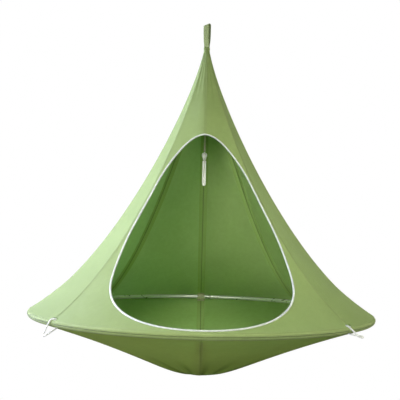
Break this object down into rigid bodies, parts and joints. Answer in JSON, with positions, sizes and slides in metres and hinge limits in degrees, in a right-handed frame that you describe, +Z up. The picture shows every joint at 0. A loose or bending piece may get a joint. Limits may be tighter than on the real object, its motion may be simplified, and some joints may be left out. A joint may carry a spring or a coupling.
{
  "type": "hanging cone tent",
  "caption": "Hanging fabric cone over a shallow fabric bowl, spread by a round metal ring, with a piped doorway, a webbing loop at the top, tie-down loops and a knotted cord inside.",
  "frame": {"origin": "inside top of the hanging loop, where the rope or karabiner carries it, on the vertical axis of the cone", "axes": "+Z up, -Y out through the doorway, +X to the right as seen from the doorway's front"},
  "size_m": [1.5052, 1.5052, 1.6358],
  "materials": {
    "outer_fabric": "coated canvas, light green",
    "bowl_fabric": "coated canvas, olive green",
    "seam_strap": "woven strap, green",
    "loop_webbing": "woven webbing, light green",
    "piping": "covered piping, white",
    "webbing": "woven webbing, beige",
    "ring_tube": "drawn tube, satin",
    "spring_steel": "spring steel, bright",
    "cord": "braided cord, off-white"
  },
  "bodies": {
    "shell": {"cone_gore_front_right": "outer_fabric", "cone_gore_right_front": "outer_fabric", "cone_gore_right_rear": "outer_fabric", "cone_gore_rear_right": "outer_fabric", "cone_gore_rear_left": "outer_fabric", "cone_gore_left_rear": "outer_fabric", "cone_gore_left_front": "outer_fabric", "cone_gore_front_left": "outer_fabric", "bowl_gore_front_right": "bowl_fabric", "bowl_gore_right_front": "bowl_fabric", "bowl_gore_right_rear": "bowl_fabric", "bowl_gore_rear_right": "bowl_fabric", "bowl_gore_rear_left": "bowl_fabric", "bowl_gore_left_rear": "bowl_fabric", "bowl_gore_left_front": "bowl_fabric", "bowl_gore_front_left": "bowl_fabric", "cone_strap_front": "seam_strap", "cone_strap_front_right": "seam_strap", "cone_strap_right": "seam_strap", "cone_strap_rear_right": "seam_strap", "cone_strap_rear": "seam_strap", "cone_strap_rear_left": "seam_strap", "cone_strap_left": "seam_strap", "cone_strap_front_left": "seam_strap", "bowl_strap_front_right": "seam_strap", "bowl_strap_right": "seam_strap", "bowl_strap_rear_right": "seam_strap", "bowl_strap_rear_left": "seam_strap", "bowl_strap_left": "seam_strap", "bowl_strap_front_left": "seam_strap", "bowl_strap_front_to_rear": "seam_strap", "door_piping": "piping", "hem_band_right": "outer_fabric", "hem_band_rear": "outer_fabric", "hem_band_left": "outer_fabric", "hem_band_front": "outer_fabric", "ring_section_right": "ring_tube", "ring_section_rear": "ring_tube", "ring_section_left": "ring_tube", "ring_section_front": "ring_tube", "ring_keeper_right": "webbing", "ring_keeper_rear": "webbing", "ring_keeper_left": "webbing", "leaf_spring_front_right": "spring_steel", "leaf_spring_rear_right": "spring_steel", "leaf_spring_rear_left": "spring_steel", "leaf_spring_front_left": "spring_steel", "hanging_loop": "loop_webbing", "neck_wrap": "outer_fabric"},
    "snap_button_front_right": {"snap_button_front_right": "spring_steel"},
    "snap_button_rear_right": {"snap_button_rear_right": "spring_steel"},
    "snap_button_rear_left": {"snap_button_rear_left": "spring_steel"},
    "snap_button_front_left": {"snap_button_front_left": "spring_steel"},
    "tie_loop_front_right": {"tie_loop_front_right": "cord"},
    "tie_loop_rear_right": {"tie_loop_rear_right": "cord"},
    "tie_loop_rear_left": {"tie_loop_rear_left": "cord"},
    "tie_loop_front_left": {"tie_loop_front_left": "cord"},
    "inner_cord": {"inner_cord": "cord"},
    "cord_loop": {"cord_knot": "cord", "cord_loop": "cord"}
  },
  "joints": [
    {"name": "snap_button_front_right_press", "type": "slide", "parent": "shell", "child": "snap_button_front_right", "axis": [0, 0, -1], "range_m": [0, 0.0033], "stiffness_N_per_m": 1500, "deforming": ["leaf_spring_front_right"]},
    {"name": "snap_button_rear_right_press", "type": "slide", "parent": "shell", "child": "snap_button_rear_right", "axis": [0, 0, -1], "range_m": [0, 0.0033], "stiffness_N_per_m": 1500, "deforming": ["leaf_spring_rear_right"]},
    {"name": "snap_button_rear_left_press", "type": "slide", "parent": "shell", "child": "snap_button_rear_left", "axis": [0, 0, -1], "range_m": [0, 0.0033], "stiffness_N_per_m": 1500, "deforming": ["leaf_spring_rear_left"]},
    {"name": "snap_button_front_left_press", "type": "slide", "parent": "shell", "child": "snap_button_front_left", "axis": [0, 0, -1], "range_m": [0, 0.0033], "stiffness_N_per_m": 1500, "deforming": ["leaf_spring_front_left"]},
    {"name": "tie_loop_front_right_swing", "type": "hinge", "parent": "shell", "child": "tie_loop_front_right", "pos_m": [0.52326, -0.52326, -1.349], "axis": [0.7071, 0.7071, 0], "range_deg": [-70, 52]},
    {"name": "tie_loop_rear_right_swing", "type": "hinge", "parent": "shell", "child": "tie_loop_rear_right", "pos_m": [0.52326, 0.52326, -1.349], "axis": [-0.7071, 0.7071, 0], "range_deg": [-95, 27]},
    {"name": "tie_loop_rear_left_swing", "type": "hinge", "parent": "shell", "child": "tie_loop_rear_left", "pos_m": [-0.52326, 0.52326, -1.349], "axis": [-0.7071, -0.7071, 0], "range_deg": [-95, 27]},
    {"name": "tie_loop_front_left_swing", "type": "hinge", "parent": "shell", "child": "tie_loop_front_left", "pos_m": [-0.52326, -0.52326, -1.349], "axis": [0.7071, -0.7071, 0], "range_deg": [-95, 27]},
    {"name": "inner_cord_swing", "type": "hinge", "parent": "shell", "child": "inner_cord", "pos_m": [0, 0, -0.1888], "axis": [1, 0, 0], "range_deg": [-15, 15]},
    {"name": "cord_loop_swing", "type": "hinge", "parent": "inner_cord", "child": "cord_loop", "pos_m": [0, 0, -0.6182], "axis": [0, 1, 0], "range_deg": [-20, 20]}
  ]
}
